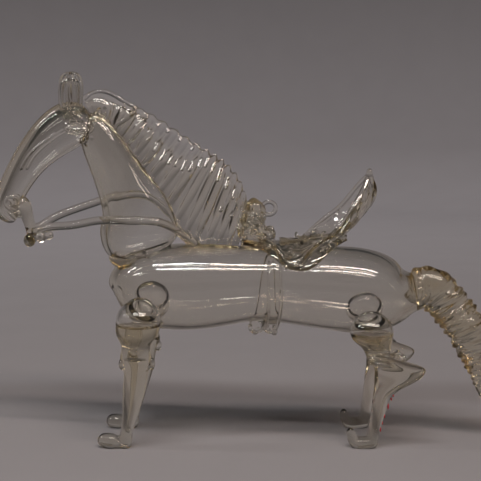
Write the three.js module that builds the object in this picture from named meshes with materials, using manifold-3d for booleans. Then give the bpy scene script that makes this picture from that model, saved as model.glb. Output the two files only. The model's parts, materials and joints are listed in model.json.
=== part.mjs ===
// Lampworked glass horse with a crimped mane and tail, a drawn saddle, a girth and two reins.
// Every limb is worked hot onto the blown body, so the whole figure is one fused piece of glass.
// Millimetres, +Z up, muzzle towards -X, near side towards -Y, soles on z = 0.
import * as THREE from "three";
import { mergeVertices } from "three/addons/utils/BufferGeometryUtils.js";
import Module from "manifold-3d";

const wasm = await Module();
wasm.setup();

// Driving dimensions
const horseLength = 172; // muzzle to tail
const horseWidth = 42; // across the shoulder bulbs
const horseHeight = 125; // soles to ear tip
const reinDiameter = 2.8; // drawn rod of the two reins
const rimDiameter = 1.8; // thread laid along the saddle's edges
const padThickness = 1.8; // sheet that hugs the horse's back
const seatThickness = 1.6; // cupped sheet of the seat and its tall point
const girthWidth = 4.6; // band under the belly
const girthThickness = 1.8;
const maneThickness = 2.6; // crimped plate along the neck
const maneRibs = 15; // crimps pinched across the mane
const maneCrimp = 0.7; // how far each crimp swings to either side
const tailRibs = 7; // crimps pinched across the tail
const tailCrimp = 0.09; // share of the tail's thickness that each crimp takes
const earThickness = 1.5;
const loopDiameter = 1.6; // rod of the small ring before the saddle

// The free form is drawn on a grid of squares, and the driving sizes set how large a square is
const gridLength = 172;
const gridWidth = 42;
const gridHeight = 125;
const squareX = horseLength / gridLength;
const squareY = horseWidth / gridWidth;
const squareZ = horseHeight / gridHeight;
const mergeDistance = 1e-4; // corners nearer than this are the same corner
const acrossHorse = new THREE.Vector3(0, 1, 0);
const alongHorse = new THREE.Vector3(1, 0, 0);
const nearSide = -1;
const farSide = 1;

/** A point of the drawn grid as a place in millimetres. */
function place(x, y, z) {
  return new THREE.Vector3(x * squareX, y * squareY, z * squareZ);
}

/** The smooth curve through a few points of the drawn grid. */
function smooth(points) {
  return new THREE.CatmullRomCurve3(points.map((point) => place(...point)), false, "catmullrom", 0.5);
}

/** A solid from a flat list of corners and the triangles between them. */
function solid(corners, triangles) {
  const mesh = new wasm.Mesh({
    numProp: 3,
    vertProperties: new Float32Array(corners.flatMap((corner) => corner.toArray())),
    triVerts: new Uint32Array(triangles.flat()),
  });
  return new wasm.Manifold(mesh);
}

/** A solid from a closed three.js geometry whose seams still hold doubled corners. */
function solidOf(geometry) {
  geometry.deleteAttribute("normal");
  geometry.deleteAttribute("uv");
  const merged = mergeVertices(geometry, mergeDistance);
  const mesh = new wasm.Mesh({
    numProp: 3,
    vertProperties: new Float32Array(merged.attributes.position.array),
    triVerts: new Uint32Array(merged.index.array),
  });
  return new wasm.Manifold(mesh);
}

/**
 * A tube of elliptical rings along a smooth path. Each station is x, y, z, half height and half
 * depth in grid squares; the first and last stations are the tube's two tips. The rings stand square
 * to the path, or lie level in a leg, and swell scales each ring by its place along the path.
 */
function tube(stations, { perStation = 1, sides = 10, broad = acrossHorse, level = false, swell } = {}) {
  const path = smooth(stations.map(([x, y, z]) => [x, y, z]));
  const reach = new THREE.CatmullRomCurve3(
    stations.map(([, , , high, deep]) => new THREE.Vector3(high * squareZ, deep * squareY, 0)),
    false,
    "catmullrom",
    0.5,
  );
  const steps = (stations.length - 1) * perStation;
  const corners = [path.getPoint(0)];
  for (let i = 1; i < steps; i += 1) {
    const t = i / steps;
    const centre = path.getPoint(t);
    const tangent = level ? new THREE.Vector3(0, 0, -1) : path.getTangent(t);
    const side = broad.clone().addScaledVector(tangent, -broad.dot(tangent)).normalize();
    const up = side.clone().cross(tangent);
    const { x: high, y: deep } = reach.getPoint(t);
    const scale = swell ? swell(t) : 1;
    for (let j = 0; j < sides; j += 1) {
      const turn = (2 * Math.PI * j) / sides;
      const corner = centre.clone();
      corner.addScaledVector(up, high * scale * Math.cos(turn));
      corner.addScaledVector(side, deep * scale * Math.sin(turn));
      corners.push(corner);
    }
  }
  const lastTip = corners.push(path.getPoint(1)) - 1;
  const at = (ring, j) => 1 + ring * sides + (j % sides);
  const triangles = [];
  for (let j = 0; j < sides; j += 1) {
    triangles.push([0, at(0, j + 1), at(0, j)]);
    triangles.push([lastTip, at(steps - 2, j), at(steps - 2, j + 1)]);
    for (let ring = 0; ring < steps - 2; ring += 1) {
      triangles.push([at(ring, j), at(ring, j + 1), at(ring + 1, j + 1)]);
      triangles.push([at(ring, j), at(ring + 1, j + 1), at(ring + 1, j)]);
    }
  }
  return solid(corners, triangles);
}

/** Stations of one half size along the points, with the first and the last drawn to a tip. */
function withTips(points, half) {
  const last = points.length - 1;
  return points.map((point, i) => [...point, ...(i === 0 || i === last ? [0, 0] : half)]);
}

/** A round rod of one diameter along a smooth path, with its ends drawn to a short point. */
function rod(points, diameter) {
  const half = [diameter / 2 / squareZ, diameter / 2 / squareY];
  return tube(withTips(points, half), { sides: 6 });
}

/** A closed plate: a surface of u and v, thickened both ways along its own normal. */
function plate(surface, thickness, columns, rows) {
  const corners = [];
  const nudge = 1e-3;
  for (const face of [1, -1]) {
    for (let i = 0; i <= columns; i += 1) {
      for (let j = 0; j <= rows; j += 1) {
        const u = i / columns;
        const v = (2 * j) / rows - 1;
        const alongU = surface(u + nudge, v).sub(surface(u - nudge, v));
        const alongV = surface(u, v + nudge).sub(surface(u, v - nudge));
        const outward = alongU.cross(alongV).normalize();
        corners.push(surface(u, v).addScaledVector(outward, (face * thickness(u, v)) / 2));
      }
    }
  }
  const layer = (columns + 1) * (rows + 1);
  const top = (i, j) => i * (rows + 1) + j;
  const triangles = [];
  for (let i = 0; i < columns; i += 1) {
    for (let j = 0; j < rows; j += 1) {
      const [a, b, c, d] = [top(i, j), top(i + 1, j), top(i + 1, j + 1), top(i, j + 1)];
      triangles.push([a, b, c], [a, c, d]);
      triangles.push([a + layer, c + layer, b + layer], [a + layer, d + layer, c + layer]);
    }
  }
  const border = [];
  for (let i = 0; i < columns; i += 1) {
    border.push(top(i, 0));
  }
  for (let j = 0; j < rows; j += 1) {
    border.push(top(columns, j));
  }
  for (let i = columns; i > 0; i -= 1) {
    border.push(top(i, rows));
  }
  for (let j = rows; j > 0; j -= 1) {
    border.push(top(0, j));
  }
  border.forEach((here, k) => {
    const next = border[(k + 1) % border.length];
    triangles.push([here + layer, next + layer, next], [here + layer, next, here]);
  });
  return solid(corners, triangles);
}

/** The surface through three guide lines: near edge at v = -1, keel at v = 0, far edge at v = 1. */
function leaf(near, keel, far) {
  const [nearLine, keelLine, farLine] = [near, keel, far].map(smooth);
  return (u, v) => {
    const t = THREE.MathUtils.clamp(u, 0, 1);
    const beyond = u - t;
    const point = nearLine.getPoint(t).multiplyScalar((v * (v - 1)) / 2);
    point.addScaledVector(keelLine.getPoint(t), 1 - v * v);
    point.addScaledVector(farLine.getPoint(t), (v * (v + 1)) / 2);
    return point.addScaledVector(keelLine.getTangent(t), beyond * keelLine.getLength());
  };
}

/** A drop of glass pressed on: an ellipsoid with its three half sizes in grid squares. */
function drop(x, y, z, halfX, halfY, halfZ) {
  const segmentsAround = 8;
  const segmentsUp = 5;
  const geometry = new THREE.SphereGeometry(1, segmentsAround, segmentsUp);
  geometry.scale(halfX * squareX, halfY * squareY, halfZ * squareZ);
  geometry.translate(...place(x, y, z).toArray());
  return solidOf(geometry);
}

/** A small ring of rod standing in the horse's own plane. */
function loop(x, y, z, radius, diameter) {
  const rodSides = 5;
  const segmentsAround = 10;
  const geometry = new THREE.TorusGeometry(radius, diameter / 2, rodSides, segmentsAround);
  geometry.rotateX(Math.PI / 2);
  geometry.translate(...place(x, y, z).toArray());
  return solidOf(geometry);
}

/** The barrel of the body, blown from one tube: rounded chest, waist at the girth, drawn-in croup. */
function body() {
  const stations = [
    [-45.9, 0, 51.8, 0, 0],
    [-45.2, 0, 52.2, 4.6, 4.6],
    [-42.6, 0, 52.7, 8.6, 8.6],
    [-38, 0, 52.8, 12, 12],
    [-31, 0, 52.8, 14, 14],
    [-22, 0, 52.8, 14.7, 14.7],
    [-9, 0, 53.4, 14, 14],
    [5, 0, 53.8, 12.7, 12.7],
    [17, 0, 53.1, 13.4, 13.4],
    [29, 0, 52.3, 14.4, 14.4],
    [39, 0, 51.4, 14.5, 14.5],
    [46.5, 0, 50.7, 13, 13],
    [52, 0, 50.4, 10, 10],
    [57, 0, 50.8, 6.6, 6.6],
    [60, 0, 51, 5.6, 5.6],
    [61.5, 0, 51, 0, 0],
  ];
  return tube(stations, { perStation: 2, sides: 14 });
}

/** The neck: a cone that widens from the poll to the chest, where it folds over onto the barrel. */
function neck() {
  const stations = [
    [-52, 0, 111.5, 0, 0],
    [-51.4, 0, 109.4, 4.2, 3.6],
    [-50, 0, 104.8, 6.4, 5.2],
    [-46.2, 0, 97.2, 7.9, 6.5],
    [-41.6, 0, 87.5, 9.3, 7.8],
    [-37, 0, 77.4, 12.6, 9.9],
    [-33, 0, 67.7, 14.8, 11.6],
    [-33.4, 0, 64.6, 12, 9],
    [-34, 0, 62.5, 0, 0],
  ];
  return [tube(stations, { perStation: 2, sides: 12 }), drop(-42.3, 0, 63.8, 4.8, 7, 4.8)];
}

/** The head: a flattened tube bent down from the poll to the muzzle, with a parted lower lip. */
function head() {
  const skull = [
    [-53, 0, 112, 0, 0],
    [-54.8, 0, 110.8, 5.4, 4],
    [-58.8, 0, 108.3, 7.7, 5.4],
    [-63.2, 0, 105.2, 7.4, 5.2],
    [-68.3, 0, 100.7, 6.2, 4.6],
    [-73, 0, 95.4, 5.2, 3.9],
    [-77.4, 0, 89.2, 4.8, 3.4],
    [-80.1, 0, 84, 4.9, 3.4],
    [-81, 0, 80.4, 4.9, 3.2],
    [-80.2, 0, 77.6, 3.8, 2.8],
    [-78.6, 0, 75.4, 0, 0],
  ];
  const lowerLip = [
    [-77.4, 0, 84, 0, 0],
    [-76, 0, 81.6, 2.2, 2.4],
    [-74.6, 0, 77, 2.1, 2.5],
    [-73.2, 0, 72.6, 1.9, 2.5],
    [-72.8, 0, 69.4, 1.6, 2.3],
    [-73.2, 0, 67.4, 0, 0],
  ];
  return [tube(skull, { perStation: 2, sides: 10 }), tube(lowerLip, { sides: 8 })];
}

/** Eyes, nostrils and the beads that hold the reins at the mouth. */
function face() {
  const pieces = [];
  for (const side of [nearSide, farSide]) {
    pieces.push(drop(-56.3, side * 5, 106.9, 3.7, 1.7, 2.2));
    pieces.push(loop(-79, side * 2.9, 81.7, 2.1, 1.5));
  }
  pieces.push(drop(-73.4, nearSide * 2.6, 69, 2, 1.8, 2.2));
  pieces.push(drop(-69.2, nearSide * 4.4, 70.4, 1.8, 1.6, 1.9));
  pieces.push(drop(-69.8, farSide * 3.8, 70.8, 1.8, 1.6, 1.9));
  return pieces;
}

/** An ear: a cupped tongue of flattened glass, round at its tip. */
function ear(side, tipX, tipHeight) {
  const root = 109.5;
  const rootDepth = 3.2;
  const halfWidth = 4.3;
  const cup = 1.6;
  const inwards = 0.5; // how far the tip leans towards the middle
  const waist = 0.7; // share of the width at root and tip
  const tipRoundness = 6;
  const tipShare = 0.02; // keeps the tip from closing to nothing
  const surface = (u, v) => {
    const rise = root + (tipHeight - root) * Math.sin((u * Math.PI) / 2);
    const belly = waist + (1 - waist) * Math.sin(Math.PI * u);
    const width = halfWidth * belly * Math.sqrt(Math.max(1 - u ** tipRoundness, tipShare));
    return place(tipX + width * v, side * (rootDepth + cup * (1 - v * v) - inwards * u), rise);
  };
  return plate(surface, () => earThickness, 7, 4);
}

/** The mane: a plate from the poll to the withers, smooth at the forelock and crimped behind it. */
function mane() {
  const root = smooth([
    [-51, 0, 108.4],
    [-49, 0, 107.2],
    [-46.4, 0, 104.6],
    [-43, 0, 100],
    [-38, 0, 92.5],
    [-32.5, 0, 83.5],
    [-26, 0, 73],
    [-18.5, 0, 66.6],
    [-10.5, 0, 65.5],
    [-3, 0, 65.5],
  ]);
  const crest = smooth([
    [-55.5, 0, 116.8],
    [-50, 0, 119.2],
    [-42.5, 0, 116],
    [-34.5, 0, 112.4],
    [-26.5, 0, 107.6],
    [-18.8, 0, 102.2],
    [-12, 0, 98],
    [-7, 0, 94.6],
    [-2.5, 0, 89],
    [0.2, 0, 82],
  ]);
  const crimpStart = 0.2; // share of the mane's length that the smooth forelock takes
  const easeIn = 0.04;
  const easeOut = 0.06;
  const crestRipple = 0.02;
  const rootSwing = 0.04;
  const middleShare = 0.85; // thickness halfway up, as a share of the driving one
  const taper = 0.25;
  const columns = 62;
  const rows = 2;
  const surface = (u, v) => {
    const t = THREE.MathUtils.clamp(u, 0, 1);
    const rise = (v + 1) / 2;
    const crimped = THREE.MathUtils.smoothstep(t, crimpStart - easeIn, crimpStart + easeOut);
    const wave = Math.sin((2 * Math.PI * maneRibs * (u - crimpStart)) / (1 - crimpStart)) * crimped;
    const point = root.getPoint(t).lerp(crest.getPoint(t), rise * (1 + crestRipple * wave));
    point.y += maneCrimp * wave * Math.sqrt(Math.max(rise, rootSwing));
    return point.addScaledVector(alongHorse, (u - t) * horseLength);
  };
  const thickness = (u, v) => maneThickness * (middleShare - taper * v);
  return plate(surface, thickness, columns, rows);
}

/** The two reins, from the mouth round the neck to the withers; the far one sits higher. */
function reins() {
  const near = [
    [-74, -0.5, 72],
    [-71.5, -3.2, 72],
    [-67.4, -5, 73.4],
    [-58.8, -7, 74.5],
    [-50, -8.8, 76.2],
    [-43, -10, 76.6],
    [-37.5, -10.6, 76.4],
    [-29, -9.6, 75.8],
    [-23.5, -7, 73],
    [-19, -3.6, 69.5],
    [-16, -2, 66.5],
  ];
  const far = [
    [-74, 0.5, 73],
    [-71, 3.2, 73.2],
    [-68, 4.8, 75],
    [-60.4, 6.8, 78.4],
    [-52, 8.2, 81.2],
    [-45.8, 8.6, 83.2],
    [-39, 8.8, 84.2],
    [-32.4, 7.8, 82.4],
    [-27.6, 6.6, 78.6],
    [-23.4, 4.6, 73.6],
    [-20, 2.6, 68.5],
  ];
  return [rod(near, reinDiameter), rod(far, reinDiameter)];
}

/** The lump and the small ring that close the mane before the saddle. */
function pommel() {
  const post = [
    [2.4, 0, 65, 0, 0],
    [2.4, 0, 68.5, 4, 3.6],
    [2.6, 0, 73, 3.4, 3.2],
    [2.8, 0, 77, 3.6, 3.4],
    [2.4, 0, 80.8, 2.8, 2.8],
    [2, 0, 83.2, 0, 0],
  ];
  return [tube(post), drop(6.6, 0, 71.8, 3.6, 3.4, 3), loop(7.4, 0, 79.6, 2.3, loopDiameter)];
}

/** The saddle: a pad over the back, and above it a cupped seat drawn up to a tall point behind. */
function saddle() {
  const padEdge = [
    [-2, 3, 67.4],
    [4.9, 6.2, 66.2],
    [9.1, 9.8, 63.5],
    [14, 12, 60.6],
    [18.9, 12.4, 60],
    [23.2, 11.4, 62],
    [28.5, 7, 66.4],
    [33.5, 2.6, 69],
  ];
  const padRidge = [
    [-2.4, 0, 67.7],
    [4.9, 0, 67.9],
    [9.1, 0, 67.9],
    [14, 0, 68],
    [18.9, 0, 68.2],
    [23.2, 0, 68.5],
    [28.5, 0, 69],
    [34, 0, 69.8],
  ];
  const nearRim = [
    [11, -11, 63],
    [16.4, -12.2, 61.4],
    [19.3, -11.6, 64.1],
    [24, -10, 68.8],
    [28.2, -8, 71.6],
    [31.4, -6.2, 75],
    [35.6, -4.4, 81],
    [39, -2.6, 86.2],
    [41, -1, 90.4],
  ];
  const keel = [
    [11, 0, 68.6],
    [15.5, 0, 68.4],
    [19.5, 0, 68.4],
    [24.5, 0, 69],
    [30.4, 0, 70.6],
    [35.6, 0, 74.4],
    [40, 0, 79.6],
    [42.4, 0, 85.2],
    [41.8, 0, 90.4],
  ];
  const farRim = [
    [11, 10.6, 64.6],
    [16, 11.4, 65],
    [19.6, 11, 68],
    [24, 9.8, 72.6],
    [28, 8.4, 76.2],
    [31.6, 6.8, 79.2],
    [35.4, 4.9, 83.8],
    [38.8, 2.9, 88.2],
    [41.2, 1, 90.8],
  ];
  const frontRoll = [
    [12.2, -11.4, 62],
    [11.4, -10, 64.6],
    [9, -7, 67.4],
    [5.4, -3.6, 69.2],
    [4, 0, 69.8],
    [5.4, 3.6, 69.2],
    [9, 7, 67.4],
    [11.4, 10, 64.6],
    [12.2, 11.4, 62],
  ];
  const padNear = padEdge.map(([x, y, z]) => [x, -y, z]);
  const pad = plate(leaf(padNear, padRidge, padEdge), () => padThickness, 8, 6);
  const seat = plate(leaf(nearRim, keel, farRim), () => seatThickness, 10, 4);
  const tip = drop(41.3, 0, 91.2, 1.2, 1.6, 1.9);
  const threads = [nearRim, farRim, frontRoll].map((points) => rod(points, rimDiameter));
  return [pad, seat, tip, ...threads];
}

/** The girth: two straps laid down the sides, their pinched ends hanging under the belly. */
function girth() {
  const bellyCentre = 53.7;
  const hug = 13.1; // how far the strap runs from the barrel's own line
  const topX = 9.2;
  const turns = [38, 60, 85, 110, 135, 158, 176]; // degrees round the barrel from its top
  const endDepth = 0.6;
  const endHeights = [38.6, 36.8];
  const straps = [
    { side: nearSide, backwards: 0.8, endX: 7.8 },
    { side: farSide, backwards: 5, endX: 2.6 },
  ];
  return straps.map(({ side, backwards, endX }) => {
    const line = turns.map((degrees, i) => {
      const turn = THREE.MathUtils.degToRad(degrees);
      const x = topX - (backwards * i) / turns.length;
      return [x, side * hug * Math.sin(turn), bellyCentre + hug * Math.cos(turn)];
    });
    endHeights.forEach((height) => line.push([endX, side * endDepth, height]));
    const half = [girthThickness / 2 / squareZ, girthWidth / 2 / squareY];
    return tube(withTips(line, half), { sides: 6, broad: alongHorse });
  });
}

/** A leg: level rings from the bulb under the body down to the fetlock, and a hoof before it. */
function leg(side, stations, hoof, { shift = 0, lift = 0 }) {
  const top = stations[0][2];
  const limb = stations.map(([x, y, z, long, deep]) => {
    const share = Math.max(z / top, 0) ** 2;
    return [x + shift * share, side * y, z + lift * share, long, deep];
  });
  const foot = hoof.map(([x, y, z, high, deep]) => [x, side * y, z, high, deep]);
  return [tube(limb, { level: true }), tube(foot, { sides: 8 })];
}

/** The front leg, nearly straight, with a pinched knee under its bulb. */
function frontLeg(side, changes) {
  const stations = [
    [-35.4, 11.5, 51, 0, 0],
    [-35.6, 12.6, 49.4, 4.4, 4.2],
    [-35.8, 14.2, 46.4, 6.8, 6.2],
    [-35.9, 14.8, 42.6, 7.4, 6.5],
    [-36.3, 14.8, 38.6, 6.6, 6],
    [-36.7, 14.6, 35.4, 4.8, 4.8],
    [-36.8, 14.5, 33.2, 4.9, 4.2],
    [-36.7, 14.3, 30.8, 5.3, 3.6],
    [-36.7, 14, 28.4, 4.5, 3.7],
    [-37.3, 13.5, 22, 3.9, 3.4],
    [-38.6, 12.8, 14, 3, 2.9],
    [-39.8, 12.2, 8, 2.3, 2.3],
    [-40.6, 12, 4.4, 2.1, 2.1],
    [-41, 11.9, 1.6, 2.3, 2.3],
    [-41, 11.9, -0.8, 0, 0],
  ];
  const hoof = [
    [-39.4, 11.9, 2, 0, 0],
    [-40.6, 11.9, 1.9, 2, 2],
    [-43.4, 11.8, 1.9, 2.6, 2.6],
    [-46.6, 11.7, 2, 3, 2.8],
    [-48.8, 11.6, 2.8, 2.4, 2.2],
    [-50, 11.6, 3.2, 0, 0],
  ];
  return leg(side, stations, hoof, changes);
}

/** The hind leg: an onion-shaped thigh, a hock pulled far back, a slim shank and an upturned toe. */
function hindLeg(side, changes) {
  const stations = [
    [41, 11.5, 46.6, 0, 0],
    [41, 12.4, 45.2, 4.2, 4],
    [41.1, 13.4, 43, 6.4, 5.8],
    [41.1, 13.8, 39.8, 7.2, 6.4],
    [41.6, 13.8, 36.6, 6.2, 5.6],
    [42.8, 13.6, 34.2, 4.7, 4.2],
    [43.3, 13.5, 32.4, 4.2, 3.5],
    [45, 13.4, 30.7, 5.2, 3.2],
    [48.4, 13.2, 28.8, 7.2, 3],
    [50.8, 13, 26.8, 8.5, 2.9],
    [50.4, 13, 24.8, 8.1, 2.8],
    [48, 12.9, 21.6, 5.7, 2.8],
    [45.4, 12.7, 18.4, 3.4, 2.7],
    [44, 12.4, 13, 2.5, 2.4],
    [43, 12.1, 8, 2.1, 2.2],
    [42.2, 11.9, 4.4, 2, 2.1],
    [41.6, 11.8, 1.6, 2.3, 2.3],
    [41.4, 11.8, -0.8, 0, 0],
  ];
  const hoof = [
    [43.6, 11.8, 2.4, 0, 0],
    [42.6, 11.8, 2, 2, 2.2],
    [39.8, 11.8, 1.5, 2.3, 2.6],
    [37, 11.7, 1.6, 2.3, 2.5],
    [35.3, 11.6, 3.4, 1.7, 2],
    [34.7, 11.6, 5.6, 1.3, 1.5],
    [34.6, 11.6, 6.8, 0, 0],
  ];
  return leg(side, stations, hoof, changes);
}

/** The tail: a crimped tube that lifts from the croup and falls clear of the hocks. */
function tail() {
  const stations = [
    [54, 0, 50.8, 0, 0],
    [56.5, 0, 50.9, 5, 4.6],
    [61.4, 0, 52.2, 7.2, 5.4],
    [67.4, 0, 48.6, 6.8, 5.4],
    [73, 0, 42, 7.2, 5.4],
    [77.6, 0, 34.4, 6.8, 5],
    [80.2, 0, 27, 5.6, 4.2],
    [82.2, 0, 20, 4.2, 3.4],
    [83.6, 0, 14.6, 2.6, 2.2],
    [84.6, 0, 11, 0, 0],
  ];
  const swell = (t) => 1 + tailCrimp * Math.cos(2 * Math.PI * tailRibs * t);
  return tube(stations, { perStation: 3, swell });
}

/** What lies under the table top: it grinds the four soles flat. */
function underground() {
  const depth = 20;
  const geometry = new THREE.BoxGeometry(horseLength * 2, horseWidth * 2, depth);
  geometry.translate(0, 0, -depth / 2);
  return solidOf(geometry);
}

/** Fuse every worked piece to the body and grind the soles. */
function fusedHorse() {
  const pieces = [
    ...head(),
    ...face(),
    ...neck(),
    ear(nearSide, -58.6, 122.6),
    ear(farSide, -59.4, 125),
    mane(),
    ...reins(),
    ...pommel(),
    ...saddle(),
    ...girth(),
    ...frontLeg(nearSide, {}),
    ...frontLeg(farSide, { shift: 1.2, lift: 2 }),
    ...hindLeg(nearSide, {}),
    ...hindLeg(farSide, { shift: 1.6, lift: 2.4 }),
    tail(),
  ];
  const fused = pieces.reduce((whole, piece) => whole.add(piece), body());
  return fused.subtract(underground());
}

/** The solid's triangles as a three.js geometry. */
function geometryOf(whole) {
  const mesh = whole.getMesh();
  const geometry = new THREE.BufferGeometry();
  geometry.setAttribute("position", new THREE.BufferAttribute(new Float32Array(mesh.vertProperties), 3));
  geometry.setIndex(new THREE.BufferAttribute(new Uint32Array(mesh.triVerts), 1));
  geometry.computeVertexNormals();
  return geometry;
}

const clearGlass = new THREE.MeshStandardMaterial({
  color: new THREE.Color(0.9, 0.89, 0.84),
  roughness: 0.03,
  metalness: 0,
  transparent: true,
  opacity: 0.35,
});

const horse = new THREE.Mesh(geometryOf(fusedHorse()), clearGlass);
horse.name = "glass_horse";

const figurine = new THREE.Group();
figurine.add(horse);

export default figurine;
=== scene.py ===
# %% [markdown]
# # A lampworked glass horse
# This lesson makes the finish of a small glass horse, 172 mm long. The real one is drawn and blown
# over a torch from clear tube and rod: a hollow barrel, a hollow neck and head, blown bulbs at the
# top of each leg, and solid rod, plates and drops for all the rest. Every piece is fused hot to its
# neighbour, so the finished horse is a single piece of glass, and it is made here as a single mesh.
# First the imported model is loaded. It fixes where the horse stands and how large it is.

# %% Load the frame
import json
import math

import bmesh
import bpy
import numpy as np
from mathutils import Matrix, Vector

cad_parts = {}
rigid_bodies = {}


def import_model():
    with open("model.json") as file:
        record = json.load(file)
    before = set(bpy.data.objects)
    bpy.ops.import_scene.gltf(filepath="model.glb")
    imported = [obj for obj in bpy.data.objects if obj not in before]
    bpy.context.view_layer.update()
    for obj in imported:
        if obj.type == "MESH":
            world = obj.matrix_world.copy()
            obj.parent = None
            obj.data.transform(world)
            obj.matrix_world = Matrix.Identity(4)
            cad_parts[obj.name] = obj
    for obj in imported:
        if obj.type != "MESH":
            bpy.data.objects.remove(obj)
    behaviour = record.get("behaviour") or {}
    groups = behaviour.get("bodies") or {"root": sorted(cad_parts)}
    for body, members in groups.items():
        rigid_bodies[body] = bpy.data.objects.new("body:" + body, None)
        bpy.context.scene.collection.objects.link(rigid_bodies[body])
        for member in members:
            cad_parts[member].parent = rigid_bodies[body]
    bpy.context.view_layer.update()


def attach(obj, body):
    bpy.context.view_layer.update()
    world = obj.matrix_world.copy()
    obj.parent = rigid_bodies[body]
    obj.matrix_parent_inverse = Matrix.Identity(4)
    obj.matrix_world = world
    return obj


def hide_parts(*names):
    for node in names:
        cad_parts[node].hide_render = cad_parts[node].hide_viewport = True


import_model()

millimetre = 0.001

# %% [markdown]
# ## The camera
# The photograph looks at the near side of the horse from about a third of a metre, tipped a few
# degrees down. The camera is set by the point it looks at, its distance and its tilt, and the focal
# length follows from the frame's width in pixels.

# %% Set up the camera
frame_pixels = 481
focal_pixels = 1050
sensor_width = 36
look_at = Vector((-2.21, 0, 68.65)) * millimetre
distance = 357 * millimetre
tilt = math.radians(6.5)

camera_data = bpy.data.cameras.new("camera")
camera_data.sensor_width = sensor_width
camera_data.lens = sensor_width * focal_pixels / frame_pixels
camera_data.clip_start = 0.01
camera_data.clip_end = 50
camera = bpy.data.objects.new("camera", camera_data)
back = Vector((0, -math.cos(tilt), math.sin(tilt)))
camera.location = look_at + back * distance
camera.rotation_euler = (-back).to_track_quat("-Z", "Y").to_euler()
bpy.context.scene.collection.objects.link(camera)
bpy.context.scene.camera = camera
print("lens in mm:", round(camera_data.lens, 1))

# %% [markdown]
# ## Smooth lines through a few points
# Hot glass has no kinks, and a mirror-like surface shows every one of them, so each line is a
# cubic spline whose slope and curvature run on through its points. The second derivatives at the
# points solve one small set of linear equations. Each line is laid out by the length it covers.

# %% A spline through points


def cubic(knots, values, at):
    """Natural cubic spline: each second derivative balances the change of slope at its knot."""
    step = np.diff(knots)[:, None]
    slope = np.diff(values, axis=0) / step
    count = len(knots)
    inner = np.arange(1, count - 1)
    system = np.eye(count)
    system[inner, inner - 1] = step[:-1, 0]
    system[inner, inner] = 2 * (step[:-1, 0] + step[1:, 0])
    system[inner, inner + 1] = step[1:, 0]
    target = np.zeros_like(values)
    target[1:-1] = 6 * np.diff(slope, axis=0)
    bend = np.linalg.solve(system, target)
    k = np.clip(np.searchsorted(knots, at, side="right") - 1, 0, count - 2)
    h = step[k]
    before = (at - knots[k])[:, None]
    after = (knots[k + 1] - at)[:, None]
    curved = (bend[k] * after**3 + bend[k + 1] * before**3) / (6 * h)
    start = (values[k] / h - bend[k] * h / 6) * after
    end = (values[k + 1] / h - bend[k + 1] * h / 6) * before
    return curved + start + end


def line(points, count):
    """A smooth line through points, as count places evenly spread over its length."""
    points = np.array(points, float)
    knots = np.r_[0, np.cumsum(np.linalg.norm(np.diff(points, axis=0), axis=1))]
    return cubic(knots, points, np.linspace(0, knots[-1], count))


def length(points):
    """The length of the smooth line through points, summed over 200 places on it."""
    return float(np.linalg.norm(np.diff(line(points, 200), axis=0), axis=1).sum())


# %% [markdown]
# ## Skins
# A piece is a grid of rings: the first number counts along the piece and the second round it. Two
# tips close the grid, so every piece is watertight, which the fusing further down needs.

# %% Close a grid of rings


def unit(vectors):
    """Vectors of length 1 in the same directions."""
    return vectors / np.maximum(np.linalg.norm(vectors, axis=-1, keepdims=True), 1e-9)


def outward(corners, triangles):
    """The triangles, turned over if the closed skin's signed volume comes out negative."""
    a, b, c = (corners[triangles[:, i]] for i in range(3))
    volume = np.einsum("ij,ij->", a, np.cross(b, c)) / 6
    return triangles if volume > 0 else triangles[:, ::-1]


def skin(rings, first=None, last=None):
    """Corners and triangles of a closed skin over rings, an array of rings by sides by 3."""
    count, sides = rings.shape[:2]
    first = rings[0].mean(0) if first is None else first
    last = rings[-1].mean(0) if last is None else last
    corners = np.concatenate([rings.reshape(-1, 3), [first, last]])
    index = np.arange(count * sides).reshape(count, sides)
    beside = np.roll(index, -1, axis=1)
    a, b, c, d = index[:-1], beside[:-1], beside[1:], index[1:]
    tips = np.full(sides, count * sides)
    parts = [
        np.stack([a, b, c], -1).reshape(-1, 3),
        np.stack([a, c, d], -1).reshape(-1, 3),
        np.stack([tips, beside[0], index[0]], -1),
        np.stack([tips + 1, index[-1], beside[-1]], -1),
    ]
    return corners, outward(corners, np.concatenate(parts))


# %% [markdown]
# ## Tubes
# A tube is drawn from stations: the centre, half the height and half the depth at a few places. The
# two tips have no width. The line is carried on past each tip as its own mirror image, so that it
# runs square across the tip and the end comes out round instead of pointed.

# %% A tube through stations


def tube(stations, rings, sides, level=False, broad=(0, 1, 0), swell=None):
    """Rings centre + up * high * cos + side * deep * sin along a spline through the stations.

    A station is x, y, z, half the height and half the depth.

    swell(along, turn) scales the rings, with along from 0 to 1 and turn from 0 to 2 pi.
    """
    stations = np.array(stations, float)
    mirror = np.array([1, 1, 1, -1, -1])
    extended = np.concatenate([stations[1:2] * mirror, stations, stations[-2:-1] * mirror])
    knots = np.r_[0, np.cumsum(np.linalg.norm(np.diff(extended, axis=0), axis=1))]
    at = np.linspace(knots[1], knots[-2], rings + 2)
    drawn = cubic(knots, extended, at)
    path = drawn[:, :3]
    tangent = unit(np.gradient(path, axis=0))
    if level:
        tangent = np.broadcast_to(np.array([0.0, 0, -1]), tangent.shape)
    side = unit(np.array(broad, float) - tangent * (tangent @ np.array(broad, float))[:, None])
    up = np.cross(side, tangent)
    turn = np.linspace(0, 2 * np.pi, sides, endpoint=False)
    scale = 1 if swell is None else swell(np.linspace(0, 1, rings + 2)[:, None], turn)
    high = (np.abs(drawn[:, 3:4]) * np.cos(turn) * scale)[..., None] * up[:, None]
    deep = (np.abs(drawn[:, 4:5]) * np.sin(turn) * scale)[..., None] * side[:, None]
    grid = path[:, None] + high + deep
    return skin(grid[1:-1], path[0], path[-1])


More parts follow.
